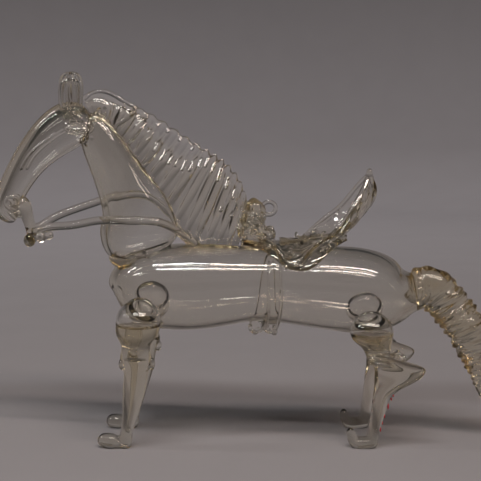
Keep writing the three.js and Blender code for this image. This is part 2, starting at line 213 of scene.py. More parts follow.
def rod(points, thickness, rings, sides=12, flat=1.0, broad=(0, 1, 0)):
    """A rod of even thickness along a smooth line, with both ends round as half a ball.

    Its broad way lies along broad, and flat is the share of the thickness left the other way.
    """
    path = line(points, rings + 2)
    along = np.r_[0, np.cumsum(np.linalg.norm(np.diff(path, axis=0), axis=1))]
    radius = thickness / 2
    to_end = np.minimum(along, along[-1] - along) / radius
    shrink = np.sqrt(np.clip(1 - (1 - np.minimum(to_end, 1)) ** 2, 0, 1))[:, None]
    tangent = unit(np.gradient(path, axis=0))
    side = unit(np.array(broad, float) - tangent * (tangent @ np.array(broad, float))[:, None])
    up = np.cross(side, tangent)
    turn = np.linspace(0, 2 * np.pi, sides, endpoint=False)
    high = (radius * shrink * np.cos(turn))[..., None] * up[:, None] * flat
    deep = (radius * shrink * np.sin(turn))[..., None] * side[:, None]
    grid = path[:, None] + high + deep
    return skin(grid[1:-1], path[0], path[-1])


# %% [markdown]
# ## Blades, drops and rings
# A blade is a flattened loop carried along a curved sheet: the loop's width follows the sheet and
# its thickness follows the sheet's normal, so its rim is round, as fire leaves it. A drop is a
# stretched ball, and a ring is a rod whose line is a circle.

# %% Blades, drops and rings


def blade(sheet, half_thickness, rings, sides, ends=0.0):
    """A closed blade round sheet(u, v), with v from -1 to 1 across it and u from 0 to 1 along it.

    Each ring has v = cos(turn) and lies off the sheet by the half thickness times |sin(turn)|^0.7.
    """
    turn = np.linspace(0, 2 * np.pi, sides, endpoint=False)
    u = np.linspace(ends, 1 - ends, rings)[:, None] + 0 * turn
    v = np.cos(turn) + 0 * u
    nudge, fullness = 1e-3, 0.7
    along_u = sheet(u + nudge, v) - sheet(u - nudge, v)
    along_v = sheet(u, v + nudge) - sheet(u, v - nudge)
    normal = unit(np.cross(along_u, along_v))
    offset = half_thickness(u, v) * np.sign(np.sin(turn)) * np.abs(np.sin(turn)) ** fullness
    return skin(sheet(u, v) + normal * offset[..., None])


def drop(centre, half, rings=14, sides=20, lean=0.0):
    """A ball stretched to three half sizes, then turned by lean about the horse's own length."""
    lift = np.linspace(0, np.pi, rings + 2)[1:-1][:, None]
    turn = np.linspace(0, 2 * np.pi, sides, endpoint=False)
    across = np.sin(lift) * np.sin(turn) * half[1]
    height = (np.cos(lift) + 0 * turn) * half[2]
    tilted_across = across * math.cos(lean) - height * math.sin(lean)
    tilted_height = across * math.sin(lean) + height * math.cos(lean)
    ball = np.stack([np.sin(lift) * np.cos(turn) * half[0], tilted_across, tilted_height], -1)
    centre = np.array(centre, float)
    tip = np.array([0, -half[2] * math.sin(lean), half[2] * math.cos(lean)])
    return skin(centre + ball, centre + tip, centre - tip)


def ring(centre, radius, thickness, lean=0.0, rings=40, sides=12):
    """A ring of rod that stands along the horse, tipped to the near side by lean."""
    turn = np.linspace(0, 2 * np.pi, rings, endpoint=False)[:, None]
    around = np.linspace(0, 2 * np.pi, sides, endpoint=False)
    reach = radius + thickness / 2 * np.cos(around)
    depth = thickness / 2 * np.sin(around) + 0 * turn
    height = reach * np.sin(turn)
    across = depth - height * math.sin(lean)
    grid = np.stack([reach * np.cos(turn), across, height * math.cos(lean)], -1)
    index = np.arange(rings * sides).reshape(rings, sides)
    a, b = index, np.roll(index, -1, axis=1)
    c, d = np.roll(b, -1, axis=0), np.roll(a, -1, axis=0)
    halves = [np.stack([a, b, c], -1).reshape(-1, 3), np.stack([a, c, d], -1).reshape(-1, 3)]
    triangles = np.concatenate(halves)
    corners = grid.reshape(-1, 3) + np.array(centre, float)
    return corners, outward(corners, triangles)


def curls(centre, spread, count, radius, thickness, seed):
    """Short loops of flattened thread, scattered up to spread from a centre and turned all ways.

    A loop is part of a circle drawn on two directions at right angles.
    """
    chance = np.random.default_rng(seed)
    made = []
    for _ in range(count):
        middle = np.array(centre) + chance.uniform(-1, 1, 3) * spread
        one = unit(chance.normal(size=3))
        flat_side = unit(np.cross(one, chance.normal(size=3)))
        two = np.cross(flat_side, one)
        turn = np.linspace(0, chance.uniform(1.1, 1.8) * np.pi, 9)[:, None]
        reach = radius * chance.uniform(0.7, 1.2)
        loop = middle + reach * (np.cos(turn) * one + np.sin(turn) * two)
        breadth = thickness * chance.uniform(1.0, 1.5)
        made.append(rod(loop, breadth, 12, 8, flat=0.55, broad=flat_side))
    return made


def hollow(piece, wall):
    """The space inside a blown piece: its skin moved inwards along its own normals by the wall."""
    corners, triangles = piece
    a, b, c = (corners[triangles[:, i]] for i in range(3))
    face = np.cross(b - a, c - a)
    normals = np.zeros_like(corners)
    for corner in range(3):
        np.add.at(normals, triangles[:, corner], face)
    return corners - unit(normals) * wall, triangles


def smoothstep(low, high, value):
    """0 below low, 1 above high, and 3t^2 - 2t^3 in between."""
    t = np.clip((value - low) / (high - low), 0, 1)
    return t * t * (3 - 2 * t)


# %% [markdown]
# ## The barrel, the neck and the head
# These are blown from tube. The barrel is almost round, with a waist where the girth goes. The neck
# is a cone that ends in a closed lobe on the chest, and the head is a flattened tube bent down from
# the poll. The walls are about 0.6 to 2 mm thick, and a blown wall is never quite even, so each
# ring swells by a hair as it goes round. The hollow inside is the same shape moved inwards.

# %% The barrel
barrel_stations = [
    (-45.9, 0, 51.8, 0, 0),
    (-45.2, 0, 52.2, 4.6, 4.6),
    (-42.6, 0, 52.7, 8.6, 8.6),
    (-38, 0, 52.8, 12, 12),
    (-31, 0, 52.8, 14, 14),
    (-22, 0, 52.8, 14.7, 14.7),
    (-9, 0, 53.4, 14, 14),
    (5, 0, 53.8, 12.7, 12.7),
    (17, 0, 53.1, 13.4, 13.4),
    (29, 0, 52.3, 14.4, 14.4),
    (39, 0, 51.4, 14.5, 14.5),
    (46.5, 0, 50.7, 13, 13),
    (52, 0, 50.4, 10, 10),
    (57, 0, 50.8, 6.6, 6.6),
    (60, 0, 51, 5.6, 5.6),
    (61.5, 0, 51, 0, 0),
]
wall = 1.15


def blown(along, turn):
    """The slow unevenness of a blown tube: two sines, at most seven thousandths of its radius."""
    return 1 + 0.004 * np.sin(9 * along + 2 * turn) + 0.003 * np.sin(17 * along - 3 * turn)


barrel = tube(barrel_stations, 104, 70, swell=blown)
barrel_core = tube(barrel_stations, 80, 54)
waist_x, waist_to_end = 6, 50
to_waist = np.abs(barrel_core[0][:, :1] - waist_x) / waist_to_end
barrel_hollow = hollow(barrel_core, wall * (1 + 0.7 * to_waist**4))
print("barrel length in mm:", round(float(np.ptp(barrel[0][:, 0])), 1))

# %% The neck and its lobe on the chest
neck_stations = [
    (-52, 0, 111.5, 0, 0),
    (-51.4, 0, 109.4, 4.2, 3.6),
    (-50, 0, 104.8, 6.4, 5.2),
    (-46.2, 0, 97.2, 7.9, 6.5),
    (-41.6, 0, 87.5, 9.3, 7.8),
    (-37.4, 0, 77.4, 12.2, 9.9),
    (-36.4, 0, 70.6, 13.2, 10.8),
    (-35.6, 0, 66.6, 11.9, 9.8),
    (-35, 0, 64.3, 8.2, 7),
    (-34.8, 0, 63.2, 0, 0),
]


def pulled(along, turn):
    """Shallow flutes along a tube that was pulled while soft."""
    return 1 + 0.007 * np.cos(11 * turn + 3 * along) * np.sin(np.pi * along)


neck = tube(neck_stations, 70, 64, swell=pulled)
neck_core = tube(neck_stations, 48, 44, swell=pulled)
# The neck's wall is thicker in front of a slanting middle line than behind it.
middle_x, middle_z, middle_slope = -35, 94, 0.4
neck_x, neck_z = neck_core[0][:, :1], neck_core[0][:, 2:]
behind_middle = -middle_x + (middle_z - neck_z) * middle_slope + neck_x
neck_hollow = hollow(neck_core, wall * (1.15 - 0.1 * np.clip(behind_middle, -5, 6.5)))
chest_lobe = drop((-42.3, 0, 63.8), (4.8, 7, 4.8), 20, 30)
print("neck length in mm:", round(length([station[:3] for station in neck_stations]), 1))

# %% The head and the lower lip
head_stations = [
    (-53, 0, 112, 0, 0),
    (-54.8, 0, 110.8, 5.4, 4),
    (-58.8, 0, 108.3, 7.7, 5.4),
    (-63.4, 0, 105.3, 7.8, 5.2),
    (-68.6, 0, 100.9, 6.8, 4.6),
    (-73.3, 0, 95.6, 5.8, 3.9),
    (-77.5, 0, 89.2, 5.1, 3.5),
    (-80.1, 0, 84, 4.9, 3.4),
    (-81, 0, 80.4, 4.9, 3.2),
    (-80.2, 0, 77.6, 3.8, 2.8),
    (-78.6, 0, 75.4, 0, 0),
]
lip_stations = [
    (-77.4, 0, 84, 0, 0),
    (-76, 0, 81.6, 2.2, 2.4),
    (-74.6, 0, 77, 2.1, 2.5),
    (-73.2, 0, 72.6, 1.9, 2.5),
    (-72.8, 0, 69.4, 1.6, 2.3),
    (-73.2, 0, 67.4, 0, 0),
]
head = tube(head_stations, 74, 48)
# The space in the head lies back and down a little, so the forehead's wall is the thickest.
back_by, down_by, slimmer_by = 0.55, 0.65, 0.85
head_core = [
    (x + back_by, y, z - down_by, max(high - slimmer_by, 0), deep)
    for x, y, z, high, deep in head_stations
]
head_hollow = hollow(tube(head_core, 52, 36), wall * 0.9)
lip = tube(lip_stations, 40, 24)
print("head length in mm:", round(length([station[:3] for station in head_stations]), 1))

# %% [markdown]
# ## The face
# Each eye is a drop of glass pressed on the cheek, with two threads laid round it as lids, and a
# flat thread runs down the cheek from it. The nostrils are small rings, and beads at the mouth hold
# the reins. What comes twice is made by one function, told which side it is for.

# %% Eyes and cheeks
near, far = -1, 1


def mirrored(points, side):
    """Points drawn on the far side, carried to the side asked for."""
    return [(x, side * y, z) for x, y, z in points]


def eye(side):
    """A flat drop leant against the cheek, and two oval threads that dip at their two ends."""
    eye_x, eye_z = -56.4, 107
    made = [drop((eye_x, side * 5.4, eye_z), (3.9, 0.45, 2.7), lean=side * math.radians(32))]
    turn = np.linspace(0, 2 * np.pi, 16)
    across = side * (6 - 0.5 * np.cos(turn) ** 2 - 0.35 * np.sin(turn))
    for reach, lift, thickness in ((3.9, 2.1, 0.9), (2.5, 1, 0.8)):
        lid = np.stack([eye_x + reach * np.cos(turn), across, eye_z + lift * np.sin(turn)], -1)
        made.append(rod(lid, thickness, 44, 9))
    return made


cheek_line = [
    (-60.6, 5.2, 106.6),
    (-64.5, 4.7, 104.6),
    (-69, 4.5, 101.4),
    (-73, 4.3, 97.3),
    (-75.6, 4.2, 92.6),
]

# %% Nostrils and beads


def nostril(side):
    """A ring, a short thread and a drop under it, and four loops of thread in its hole."""
    rim = ring((-79, side * 2.9, 81.7), 2.1, 1.5, rings=28, sides=12)
    fold = rod([(-80.4, side * 2, 79), (-79.4, side * 3.4, 78), (-77.6, side * 3, 76.2)], 1.3, 16, 10)
    corner = drop((-77.4, side * 2.6, 78.2), (1.3, 1.1, 1.5), 10, 14)
    return [rim, fold, corner, *curls((-79, side * 2.9, 81), (1.8, 0.6, 2.2), 4, 1.3, 1.0, 75 + side)]


face = []
for side in (near, far):
    face += eye(side)
    cheek_broad = (-0.51, -side * 0.68, 0.51)
    face.append(rod(mirrored(cheek_line, side), 1.8, 36, 12, flat=0.35, broad=cheek_broad))
    face += nostril(side)
    face += curls((-50.2, side * 2.8, 110.2), (3, 1.2, 1.8), 5, 1.5, 1.2, 5 + side)
mouth_beads = [
    ((-73.4, near * 2.6, 69), (2, 1.8, 2.2)),
    ((-69.2, near * 4.4, 70.4), (1.8, 1.6, 1.9)),
    ((-66.4, near * 4.8, 70.9), (1.5, 1.4, 1.5)),
    ((-69.8, far * 3.8, 70.8), (1.8, 1.6, 1.9)),
]
for centre, half in mouth_beads:
    face.append(drop(centre, half))
face.append(drop((-52.6, 0, 103.2), (2.4, 4.8, 1.9), 12, 18))
face += curls((-53.6, near * 3.4, 102.8), (1.6, 0.8, 1.4), 3, 1.1, 1.0, 11)
print("pieces on the face:", len(face))

# %% The ears


def ear(side, tip_x, tip_height):
    """A cupped tongue: it rises as a quarter sine and its width closes to a round tip."""
    root, half_width, cup = 109.5, 4.1, 2.2

    def sheet(u, v):
        """The tongue's middle: wide in its middle height, cupped, with five faint ribs."""
        rise = root + (tip_height - root) * np.sin(np.clip(u, 0, 1) * np.pi / 2)
        width = half_width * (0.75 + 0.25 * np.sin(np.pi * u)) * np.sqrt(np.maximum(1 - u**5, 0.02))
        rib = 0.2 * np.cos(5 * np.pi * v)
        depth = side * (3.2 + cup * (1 - v * v) - 0.5 * u + rib)
        return np.stack([tip_x + width * v, depth, rise], -1)

    def half_thickness(u, v):
        """Half its thickness: more at the two edges, and a wave over the ribs."""
        return 0.55 + 0.3 * v**4 + 0.14 * np.cos(5 * np.pi * v + 1)

    return blade(sheet, half_thickness, 30, 40)


ears = [ear(near, -58.6, 122.6), ear(far, -59.4, 125)]
print("ears:", len(ears))

# %% [markdown]
# ## The mane
# The mane is a thick plate fused along the back of the neck. Its front edge is rolled smooth as a
# forelock, and the rest is squeezed again and again in a toothed tool, which leaves a row of leaning
# crimps. The blade is thick at its root and thin at its crest, and each crimp swings it to one side
# and swells it. On the near side a row of short threads leans inwards across the shoulder, at the
# slope that sends the lamp's light straight back, so each one shows as a bright stroke.

# %% The mane's root and crest
mane_root = [
    (-51, 0, 108.4),
    (-49, 0, 107.2),
    (-46.4, 0, 104.6),
    (-43, 0, 100),
    (-38, 0, 92.5),
    (-32.5, 0, 83.5),
    (-26, 0, 73),
    (-18.5, 0, 66.6),
    (-10.5, 0, 65.5),
    (-3, 0, 65.5),
]
mane_crest = [
    (-55.5, 0, 116.8),
    (-50, 0, 119.2),
    (-42.5, 0, 116),
    (-34.5, 0, 112.4),
    (-26.5, 0, 107.6),
    (-18.8, 0, 102.2),
    (-12, 0, 98),
    (-7, 0, 94.6),
    (-2.5, 0, 89),
    (0.2, 0, 82),
]
crimps = 15
crimp_start = 0.2

# %% The crimped sheet


def by_station(points, u):
    """The smooth line through points, read with each point at its own even share of u."""
    knots = np.linspace(0, 1, len(points))
    flat = cubic(knots, np.array(points, float), np.clip(u, 0, 1).ravel())
    return flat.reshape(*u.shape, 3)


def crimp_wave(u):
    """A sine with crimps waves behind the forelock, eased in over a few hundredths."""
    eased = smoothstep(crimp_start - 0.04, crimp_start + 0.06, u)
    return eased * np.sin(2 * np.pi * crimps * (u - crimp_start) / (1 - crimp_start))


def mane_sheet(u, v):
    """The root line blended into the crest line, swung aside by the crimps."""
    rise = (v + 1) / 2
    wave = crimp_wave(u)
    start, end = by_station(mane_root, u), by_station(mane_crest, u)
    place = start + (end - start) * (rise * (1 + 0.02 * wave))[..., None]
    swing = 0.3 * wave * smoothstep(0.0, 0.6, rise)
    return place + np.stack([0 * u, swing, 0 * u], -1)


# %% The blade and the forelock
shoulder_share = (0.1, 0.32, 0.41, 0.48, 0.54, 0.6, 0.66, 0.76, 0.9)
shoulder_rise = (0.74, 0.84, 0.68, 0.62, 0.62, 0.74, 0.92, 0.9, 0.82)


def mane_half(u, v):
    """Half the blade's thickness: thin at the root, thick up to a shoulder, then a thin crest.

    The shoulder rises and falls along the mane, and a few of the crimps are stronger and longer.
    """
    rise = (v + 1) / 2
    wave = crimp_wave(u + 0.3 / crimps)
    peak = np.maximum(wave, 0) ** 2 - 0.25
    long_ones = smoothstep(0.0, 0.8, np.sin(41 * u + 0.6)) * smoothstep(0.05, 0.3, rise)
    strength = 0.12 + 0.22 * long_ones + 0.1 * smoothstep(0.3, 0.6, rise)
    shoulder = np.interp(u, shoulder_share, shoulder_rise) + 0.04 * peak
    root = 1.2 + 1.1 * smoothstep(0.0, 0.25, rise)
    plain = root - 0.4 * rise - 1.1 * smoothstep(shoulder - 0.06, shoulder + 0.05, rise)
    return plain * (1 + strength * peak)


mane = blade(mane_sheet, mane_half, 240, 34, ends=0.004)
forelock_line = [(-54.6, 0, 115.6), (-52, 0, 118), (-47, 0, 118.6), (-41, 0, 115.4), (-37, 0, 113.6)]
forelock = rod(forelock_line, 1.5, 40)
curl = rod([(-44, -1.6, 107.6), (-41.5, -2.6, 109), (-38.6, -2.6, 111), (-37, -1.2, 114)], 1.6, 24)

# %% The threads over its shoulder
stroke_marks = [
    (-34.6, 107.6, 1.3),
    (-32.4, 104.2, 1.5),
    (-30.4, 100.8, 1.9),
    (-28, 98.2, 2.2),
    (-25.8, 96.2, 1.6),
    (-23.6, 95.4, 1.5),
    (-21.2, 94.4, 1.9),
    (-18.6, 94.4, 2.1),
    (-15.8, 95.2, 1.5),
    (-13.6, 95.4, 1.7),
    (-11.4, 93.6, 1.6),
    (-9.2, 91.4, 2.4),
    (-6.6, 88.4, 2),
    (-4.4, 84.8, 1.8),
]
crest_marks = [
    (-36.8, 110.6, 0.9),
    (-33.6, 110.4, 0.7),
    (-29.8, 108, 0.7),
    (-26.6, 105.8, 0.7),
    (-22.6, 103, 0.7),
    (-18.4, 100, 0.7),
]
low_marks = [(-8.4, 80.6, 1.8), (-5, 78.6, 1.6), (-2.8, 74, 1.3)]


def stroke(x, z, half, depth, degrees):
    """A short flat thread on the near side; it rises at an angle and sinks inwards as it goes up."""
    lean, thickness, flat = 0.65, 1.4, 0.3
    run = half * math.cos(math.radians(degrees))
    rise = half * math.sin(math.radians(degrees))
    foot = (x - run, -depth - lean * half, z - rise)
    top = (x + run, -depth + lean * half, z + rise)
    return rod([foot, (x, -depth, z), top], thickness, 12, 10, flat, (0.92, -0.15, -0.3))


strokes = []
for marks, depth in ((stroke_marks, 1.65), (crest_marks, 0.9), (low_marks, 2.2)):
    for x, z, half in marks:
        degrees = np.interp(x, (-36, -8), (57, 74))
        strokes.append(stroke(x, z, 1.2 * half, depth, degrees))
print("crimps in the mane:", crimps, "and threads over its shoulder:", len(strokes))

# %% [markdown]
# ## The reins
# Two drawn rods leave the mouth, pass round the neck and close at the withers. The near one is
# pressed a little flat, with its broad side facing halfway between the camera and the lamps, so
# that a bright line runs along it. The flat threads of the knot, knees and hocks face it too.

# %% The reins
near_rein = [
    (-74, -0.5, 72),
    (-71.5, -3.2, 72),
    (-67.4, -5, 73.4),
    (-58.8, -7, 74.5),
    (-50, -8.8, 76.2),
    (-43, -10, 76.6),
    (-37.5, -10.6, 76.4),
    (-29, -9.6, 75.8),
    (-23.5, -7, 73),
    (-19, -3.6, 69.5),
    (-16, -2, 66.5),
]
far_rein = [
    (-74, 0.5, 73),
    (-71, 3.2, 73.2),
    (-68, 4.8, 75),
    (-60.4, 6.8, 78.4),
    (-52, 8.2, 81.2),
    (-45.8, 8.6, 83.2),
    (-39, 8.8, 84.2),
    (-32.4, 7.8, 82.4),
    (-27.6, 6.6, 78.6),
    (-23.4, 4.6, 73.6),
    (-20, 2.6, 68.5),
]
reins = [rod(near_rein, 2.9, 80, 14, 0.88, (0, 0.58, 0.81)), rod(far_rein, 2.8, 80, 12)]
print("reins in mm:", round(length(near_rein), 1), round(length(far_rein), 1))

# %% [markdown]
# ## The curl before the saddle
# Where the mane ends, a hot rod is rolled up into a small curl, with a ring and a few drops beside
# it. It is a busy little knot, so it is made of many small overlapping pieces.

# %% The curl, its ring and its drops
post_stations = [
    (2.4, 0, 65, 0, 0),
    (2.4, 0, 68.5, 4, 3.6),
    (2.6, 0, 73, 3.4, 3.2),
    (2.8, 0, 77, 3.6, 3.4),
    (2.4, 0, 80.8, 2.8, 2.8),
    (2, 0, 83.2, 0, 0),
]


def lumpy(along, turn):
    """Three waves along a squeezed post, each leaning a little as it goes round."""
    return 1 + 0.1 * np.sin(6 * np.pi * along + turn)


def facing_light(side):
    """The broad way of a thread whose flat side faces outwards and up, half turned to the lamps."""
    return 0, -side * 0.57, 0.81


spiral_points = 14
spiral_turn = np.linspace(-0.3 * np.pi, 2.4 * np.pi, spiral_points)
spiral_reach = np.linspace(3.4, 1, spiral_points)
spiral_x = 2.4 + spiral_reach * np.sin(spiral_turn)
spiral_y = np.linspace(-2.2, -4.4, spiral_points)
spiral_z = 77 + spiral_reach * np.cos(spiral_turn)
spiral = np.stack([spiral_x, spiral_y, spiral_z], -1)
knot = [
    tube(post_stations, 40, 28, swell=lumpy),
    rod(spiral, 2.2, 60, 12, 0.5, facing_light(near)),
    ring((7.4, 0, 79.6), 2.3, 1.5, lean=0.25),
    drop((6.6, 0, 71), (3.2, 3, 2.4)),
]
knot += curls((2.2, -3.2, 75), (2.6, 0.7, 5.2), 18, 1.8, 1.1, 31)
knot += curls((6.4, -2, 71), (3, 1.2, 1.6), 12, 1.4, 1.0, 22)
knot += curls((3, 2.6, 73), (2.6, 0.6, 4), 6, 1.6, 1.0, 24)
print("pieces in the knot:", len(knot))

# %% [markdown]
# ## The saddle
# The saddle has a pad that hugs the back, and above it a cupped seat drawn up to a tall point. Both
# are sheets through three guide lines: the near rim, the keel and the far rim. Threads of glass are
# laid along the rims, and a thick roll crosses the front.

# %% A sheet through three lines


def leaf(near_line, keel_line, far_line):
    """The sheet through three lines: a parabola in v at each share of u."""
    lines = [np.array(points, float) for points in (near_line, keel_line, far_line)]

    def sheet(u, v):
        one, two, three = (by_station(points, u) for points in lines)
        v = v[..., None]
        return one * v * (v - 1) / 2 + two * (1 - v * v) + three * v * (v + 1) / 2

    return sheet


# %% The saddle's guide lines
pad_edge = [
    (-2, 3, 67.4),
    (4.9, 6.2, 66.2),
    (9.1, 9.8, 63.5),
    (14, 12, 60.6),
    (18.9, 12.4, 60),
    (23.2, 11.4, 62),
    (28.5, 7, 66.4),
    (33.5, 2.6, 69),
]
pad_ridge = [
    (-2.4, 0, 67.7),
    (4.9, 0, 67.9),
    (9.1, 0, 67.9),
    (14, 0, 68),
    (18.9, 0, 68.2),
    (23.2, 0, 68.5),
    (28.5, 0, 69),
    (34, 0, 69.8),
]
near_rim = [
    (11, -11, 63),
    (16.4, -12.2, 61.4),
    (19.3, -11.6, 64.1),
    (24, -10.4, 68.8),
    (28.2, -9.8, 71.6),
    (31.4, -9.5, 75),
    (35.6, -7.8, 81),
    (39, -4, 86.2),
    (41, -1, 90.4),
]
keel = [
    (11, 0, 68.6),
    (15.5, 0, 68.4),
    (19.5, 0, 68.4),
    (24.5, 0, 69),
    (30.4, 0, 70.6),
    (35.6, 0, 74.4),
    (40, 0, 79.6),
    (42.4, 0, 85.2),
    (41.8, 0, 90.4),
]
far_rim = [
    (11, 10.6, 64.6),
    (16, 11.4, 65),
    (19.6, 11, 68),
    (24, 9.8, 72.6),
    (28, 8.4, 76.2),
    (31.6, 6.8, 79.2),
    (35.4, 4.9, 83.8),
    (38.8, 2.9, 88.2),
    (41.2, 1, 90.8),
]
front_roll = [
    (12.2, -11.4, 62),
    (11.4, -10, 64.6),
    (9, -7, 67.4),
    (5.4, -3.6, 69.2),
    (4, 0, 69.8),
    (5.4, 3.6, 69.2),
    (9, 7, 67.4),
    (11.4, 10, 64.6),
    (12.2, 11.4, 62),
]
horn_back = [
    (41.6, -0.6, 90),
    (43, -0.6, 86.6),
    (42.6, -0.4, 83),
    (40.4, 0, 79.4),
    (37.4, 0, 76),
]
print("near rim in mm:", round(length(near_rim), 1))

# %% The pad, the seat and their rims


def puckered(u, v):
    """Half the seat's thickness, with the shallow puckers that shears leave in hot glass."""
    far_half = smoothstep(-0.2, 0.5, v)
    begun, over = smoothstep(0.15, 0.3, u), smoothstep(0.5, 0.75, u)
    thick = 0.85 + 0.35 * far_half * begun * (1 - over)
    return thick + 0.22 * np.sin(38 * u + 3 * v) * np.sin(8 * v + 9 * u)


def pleat(share, first, last, thickness):
    """A thread along the seat at one share of its width, swaying a little from side to side."""
    u = np.linspace(first, last, 9)
    v = share + 0.07 * np.sin(11 * u + 9 * share)
    sink = np.stack([0 * u, 0.5 * share + 0 * u, 0.1 + 0 * u], -1)
    return rod(leaf(near_rim, keel, far_rim)(u, v) + sink, thickness, 36, 9)


saddle = [
    blade(leaf(mirrored(pad_edge, near), pad_ridge, pad_edge), lambda u, v: 0.9 + 0 * u, 32, 36),
    blade(leaf(near_rim, keel, far_rim), puckered, 66, 40),
    rod(near_rim, 2.2, 64, 14, 0.5, (0.75, -0.2, -0.5)),
    rod(far_rim, 1.7, 64),
    rod(front_roll, 2.2, 56, 14),
    drop((41.3, 0, 91.2), (1.2, 1.6, 1.9)),
    rod(horn_back, 1.6, 36),
]

for number, share in enumerate([-0.82, -0.62, -0.44, -0.2, 0.12, 0.3, 0.48, 0.64, 0.82]):
    saddle.append(pleat(share, 0.02 + 0.03 * (number % 3), 0.62 + 0.09 * (number % 4), 1.2))
saddle.append(pleat(-0.72, 0.6, 0.97, 1.1))
saddle += curls((23, 2, 69.4), (5.5, 6, 0.9), 8, 1.4, 1.0, 31)
saddle += curls((26.5, -7.6, 68.6), (2.4, 1, 1.6), 6, 1.3, 1.0, 35)
saddle += curls((14.5, -10.4, 63.8), (3, 1, 2), 4, 1.3, 1.1, 33)
print("pieces in the saddle:", len(saddle))

# %% [markdown]
# ## The girth
# A strap of glass is laid down each side of the waist, with a thread along both edges of the near
# one. The two ends are pinched together under the belly and hang there as a small puckered tab.

# %% The girth
belly_centre, hug = 53.7, 13.1


def strap(side, lean, tail_x):
    """A flat band that turns round the waist from the saddle to its pinched end under the belly."""
    turn = np.radians([38, 60, 85, 110, 135, 158, 174])
    back_shift = np.linspace(0, lean, len(turn))
    band = np.stack([9.2 - back_shift, side * hug * np.sin(turn), belly_centre + hug * np.cos(turn)], -1)
    band = np.concatenate([band, [(tail_x, side * 0.8, 38.4), (tail_x - 0.3, side * 1.4, 36.6)]])
    return rod(band, 4.6, 56, 20, flat=0.42, broad=(1, 0, 0))


girth = [strap(near, 0.8, 7.8), strap(far, 5, 2.6)]
for top, upper, lower, foot in ((10.6, 11.2, 11, 9.8), (7.2, 7.2, 7, 6)):
    edge = [(top, -9.6, 62.4), (upper, -13.4, 55), (lower, -12, 46), (foot, -3, 38.6)]
    girth.append(rod(edge, 1.2, 40, 10))
girth += curls((7.4, -1.6, 38.2), (2.2, 1, 0.7), 4, 1.1, 1.1, 41)
girth += curls((2.4, 1.4, 38.2), (1.8, 1, 0.6), 3, 1, 1.1, 43)
print("pieces in the girth:", len(girth))

# %% [markdown]
# ## The legs
# Each leg starts as a bulb on the shoulder or the thigh, blown at the top and solid under the
# bubble. Below it the glass is pinched, drawn out thin and bent, and a drop at the end is pulled
# forward into a hoof. Level rings keep the legs upright. The legs of one pair are mirror images,
# except that the far ones start a little higher and have the larger bubbles.

# %% Where the legs run
front_stations = [
    (-35.4, 11.5, 51, 0, 0),
    (-35.6, 12.6, 49.4, 4.4, 4.2),
    (-35.8, 14.2, 46.4, 6.8, 6.2),
    (-35.9, 14.8, 42.6, 7.4, 6.5),
    (-36.3, 14.8, 38.6, 6.6, 6),
    (-36.7, 14.6, 35.4, 4.8, 4.8),
    (-36.8, 14.5, 33.2, 4.9, 4.2),
    (-36.7, 14.3, 30.8, 5.3, 3.6),
    (-36.7, 14, 28.4, 4.5, 3.7),
    (-37.3, 13.5, 22, 3.9, 3.4),
    (-38.6, 12.8, 14, 3, 2.9),
    (-39.8, 12.2, 8, 2.3, 2.3),
    (-40.6, 12, 4.4, 2.1, 2.1),
    (-41, 11.9, 1.6, 2.3, 2.3),
    (-41, 11.9, -0.8, 0, 0),
]
front_hoof = [
    (-39.4, 11.9, 2, 0, 0),
    (-40.8, 11.9, 2, 1.9, 1.9),
    (-42.8, 11.8, 1.6, 1.7, 2.1),
    (-45, 11.7, 2, 2.5, 2.7),
    (-47.2, 11.6, 2.3, 2.6, 2.5),
    (-49.2, 11.6, 2.9, 1.9, 1.8),
    (-50, 11.6, 3.2, 0, 0),
]
hind_stations = [
    (41, 11.5, 46.6, 0, 0),
    (41, 12.4, 45.2, 4.2, 4),
    (41.1, 13.4, 43, 6.4, 5.8),
    (41.1, 13.8, 39.8, 7.2, 6.4),
    (41.6, 13.8, 36.6, 6.2, 5.6),
    (42.8, 13.6, 34.2, 4.7, 4.2),
    (43.3, 13.5, 32.4, 4.2, 3.5),
    (45, 13.4, 30.7, 5.2, 3.2),
    (48.4, 13.2, 28.8, 7.2, 3),
    (50.8, 13, 26.8, 8.5, 2.9),
    (50.4, 13, 24.8, 8.1, 2.8),
    (48, 12.9, 21.6, 5.7, 2.8),
    (45.4, 12.7, 18.4, 3.4, 2.7),
    (44, 12.4, 13, 2.5, 2.4),
    (43, 12.1, 8, 2.1, 2.2),
    (42.2, 11.9, 4.4, 2, 2.1),
    (41.6, 11.8, 1.6, 2.3, 2.3),
    (41.4, 11.8, -0.8, 0, 0),
]
hind_hoof = [
    (43.6, 11.8, 2.4, 0, 0),
    (42.6, 11.8, 2, 2, 2.2),
    (39.8, 11.8, 1.5, 2.3, 2.6),
    (37, 11.7, 1.6, 2.3, 2.5),
    (35.3, 11.6, 3.4, 1.7, 2),
    (34.7, 11.6, 5.6, 1.3, 1.5),
    (34.6, 11.6, 6.8, 0, 0),
]

print("front leg in mm:", round(length([station[:3] for station in front_stations]), 1))
print("hind leg in mm:", round(length([station[:3] for station in hind_stations]), 1))

# %% Set a leg and its bubble


def set_leg(stations, side, shift, lift):
    """Stations on one side of the horse; shift and lift grow as the square of the height."""
    stations = np.array(stations, float)
    share = np.clip(stations[:, 2] / stations[0, 2], 0, 1) ** 2
    moved = stations.copy()
    moved[:, 0] += shift * share
    moved[:, 1] *= side
    moved[:, 2] += lift * share
    return moved


def bulb_hollow(stations, low, thick):
    """The space in a leg's bulb: the part of the tube above the height low, closed again below."""
    closing = 1.4
    kept = stations[stations[:, 2] > low]
    end = kept[-1].copy()
    end[2] -= closing
    end[3:] = 0
    return hollow(tube(np.vstack([kept, end]), 56, 32, level=True), thick)


# %% Threads and drops on the legs
knee_line = [
    (-41, 15.6, 31.8),
    (-39, 17.4, 31.9),
    (-36.6, 18, 31.8),
    (-34, 17, 31.9),
    (-32.4, 15.4, 31.6),
]


